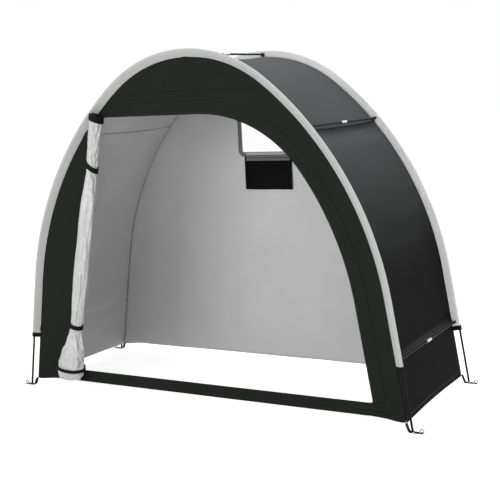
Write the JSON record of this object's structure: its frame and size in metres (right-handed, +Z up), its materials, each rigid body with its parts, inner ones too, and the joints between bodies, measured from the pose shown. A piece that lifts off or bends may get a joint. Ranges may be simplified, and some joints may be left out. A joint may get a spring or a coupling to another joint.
{
  "type": "bike shelter",
  "caption": "Arched cloth bike shelter on bent poles, open at the front with its door rolled up and tied to one side, and a clear window in the rear wall.",
  "frame": {"origin": "on the ground, in the middle of the part's box in X and Y", "axes": "+X to the right seen from the door side, along the two arches; +Y from the doorway to the rear wall; +Z up"},
  "size_m": [2.073, 0.8119, 1.5708],
  "materials": {
    "tent_cloth": "matt black coated cloth, silver inside",
    "sleeve_cloth": "matt light grey cloth",
    "silver_cloth": "silver coating with a soft sheen",
    "webbing": "matt black woven webbing",
    "clip_plastic": "moulded black plastic",
    "grey_tape": "matt grey tape",
    "pole": "black fibreglass, satin",
    "steel": "plated steel",
    "clear_pane": "clear soft sheet"
  },
  "bodies": {
    "root": {"corner_straps": "webbing", "door_roll": "silver_cloth", "door_ties": "webbing", "front_arch_pole": "pole", "front_arch_sleeve": "sleeve_cloth", "front_header": "tent_cloth", "front_left_jamb": "tent_cloth", "front_right_jamb": "tent_cloth", "front_sill": "tent_cloth", "front_spreader_clips": "clip_plastic", "left_side": "tent_cloth", "left_skirt": "tent_cloth", "lower_left_spreader_pole": "pole", "lower_right_spreader_pole": "pole", "peg_hooks": "steel", "pole_pins": "steel", "rear_arch_pole": "pole", "rear_arch_sleeve": "sleeve_cloth", "rear_spreader_clips": "clip_plastic", "rear_wall": "tent_cloth", "right_side": "tent_cloth", "right_skirt": "tent_cloth", "roof": "tent_cloth", "sleeve_end_straps": "webbing", "spreader_ferrules": "steel", "storm_flap": "tent_cloth", "top_spreader_pole": "pole", "upper_left_spreader_pole": "pole", "upper_right_spreader_pole": "pole", "window_border": "grey_tape", "window_flap": "tent_cloth", "window_pane": "clear_pane"}
  },
  "joints": []
}
